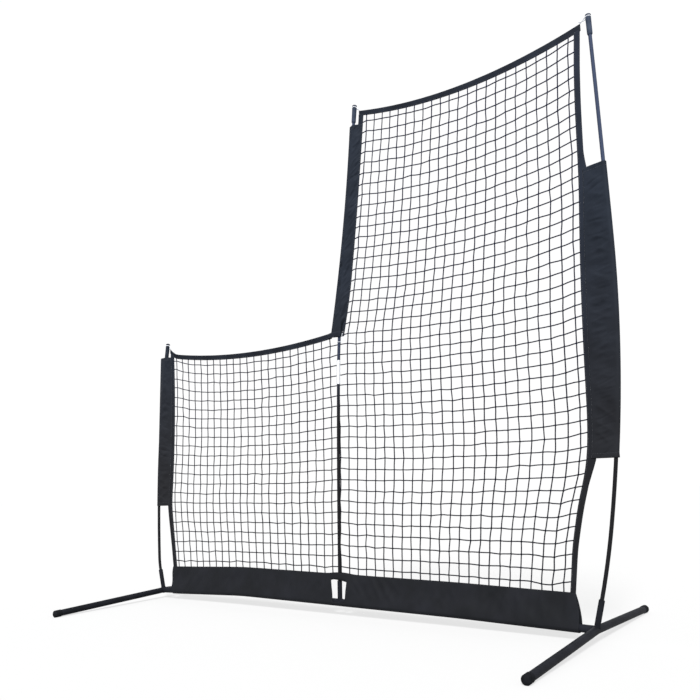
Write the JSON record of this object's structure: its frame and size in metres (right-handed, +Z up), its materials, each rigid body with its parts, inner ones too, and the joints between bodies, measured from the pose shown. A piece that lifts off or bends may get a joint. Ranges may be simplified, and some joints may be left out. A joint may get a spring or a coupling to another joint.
{
  "type": "pitching net",
  "caption": "L-shaped pitching screen: black square-mesh net with fabric sleeves on three bowed poles, on a three-part crossbar with two bent feet.",
  "frame": {"origin": "on the floor, under the centre of the whole box", "axes": "+X along the crossbar from the low side to the tall side, -Y towards the side that is looked at, +Z up"},
  "size_m": [2.2958, 1.16, 2.1341],
  "materials": {
    "black_steel": "semi-gloss powder coat",
    "rubber": "matt",
    "spring_steel": "plain",
    "bright_steel": "bright plated",
    "cap_plastic": "satin",
    "fibreglass": "satin",
    "cloth": "woven nylon",
    "net_cord": "knotless twine",
    "elastic": "braided"
  },
  "bodies": {
    "screen": {"left_foot_tube": "black_steel", "right_foot_tube": "black_steel", "left_foot_stub": "black_steel", "right_foot_stub": "black_steel", "left_pole_socket": "black_steel", "right_pole_socket": "black_steel", "centre_pole_socket": "black_steel", "left_front_foot_cap": "rubber", "left_rear_foot_cap": "rubber", "right_front_foot_cap": "rubber", "right_rear_foot_cap": "rubber", "crossbar_left": "black_steel", "crossbar_middle": "black_steel", "crossbar_right": "black_steel", "left_foot_button_spring": "spring_steel", "left_bar_button_spring": "spring_steel", "right_bar_button_spring": "spring_steel", "right_foot_button_spring": "spring_steel", "left_pole": "fibreglass", "middle_pole_lower": "fibreglass", "middle_pole_upper": "fibreglass", "right_pole_lower": "fibreglass", "right_pole_upper": "fibreglass", "middle_pole_ferrule": "bright_steel", "right_pole_ferrule": "bright_steel", "left_pole_cap": "cap_plastic", "middle_pole_cap": "cap_plastic", "right_pole_cap": "cap_plastic", "low_net": "net_cord", "tall_net": "net_cord", "low_top_binding": "cloth", "tall_top_binding": "cloth", "left_side_binding": "cloth", "step_side_binding": "cloth", "right_side_binding": "cloth", "left_sleeve": "cloth", "step_sleeve": "cloth", "right_sleeve": "cloth", "skirt": "cloth", "left_corner_loop": "elastic", "middle_corner_loop": "elastic", "right_corner_loop": "elastic", "step_loop": "elastic", "step_eyelet": "bright_steel"},
    "left_foot_button": {"left_foot_button": "bright_steel"},
    "left_bar_button": {"left_bar_button": "bright_steel"},
    "right_bar_button": {"right_bar_button": "bright_steel"},
    "right_foot_button": {"right_foot_button": "bright_steel"}
  },
  "joints": [
    {"name": "left_foot_button_press", "type": "slide", "parent": "screen", "child": "left_foot_button", "axis": [0, -1, 0], "range_m": [0, 0.0046], "stiffness_N_per_m": 800, "springref_m": -0.003, "deforming": ["left_foot_button_spring"]},
    {"name": "left_bar_button_press", "type": "slide", "parent": "screen", "child": "left_bar_button", "axis": [0, -1, 0], "range_m": [0, 0.0046], "stiffness_N_per_m": 800, "springref_m": -0.003, "deforming": ["left_bar_button_spring"]},
    {"name": "right_bar_button_press", "type": "slide", "parent": "screen", "child": "right_bar_button", "axis": [0, -1, 0], "range_m": [0, 0.0046], "stiffness_N_per_m": 800, "springref_m": -0.003, "deforming": ["right_bar_button_spring"]},
    {"name": "right_foot_button_press", "type": "slide", "parent": "screen", "child": "right_foot_button", "axis": [0, -1, 0], "range_m": [0, 0.0046], "stiffness_N_per_m": 800, "springref_m": -0.003, "deforming": ["right_foot_button_spring"]}
  ]
}
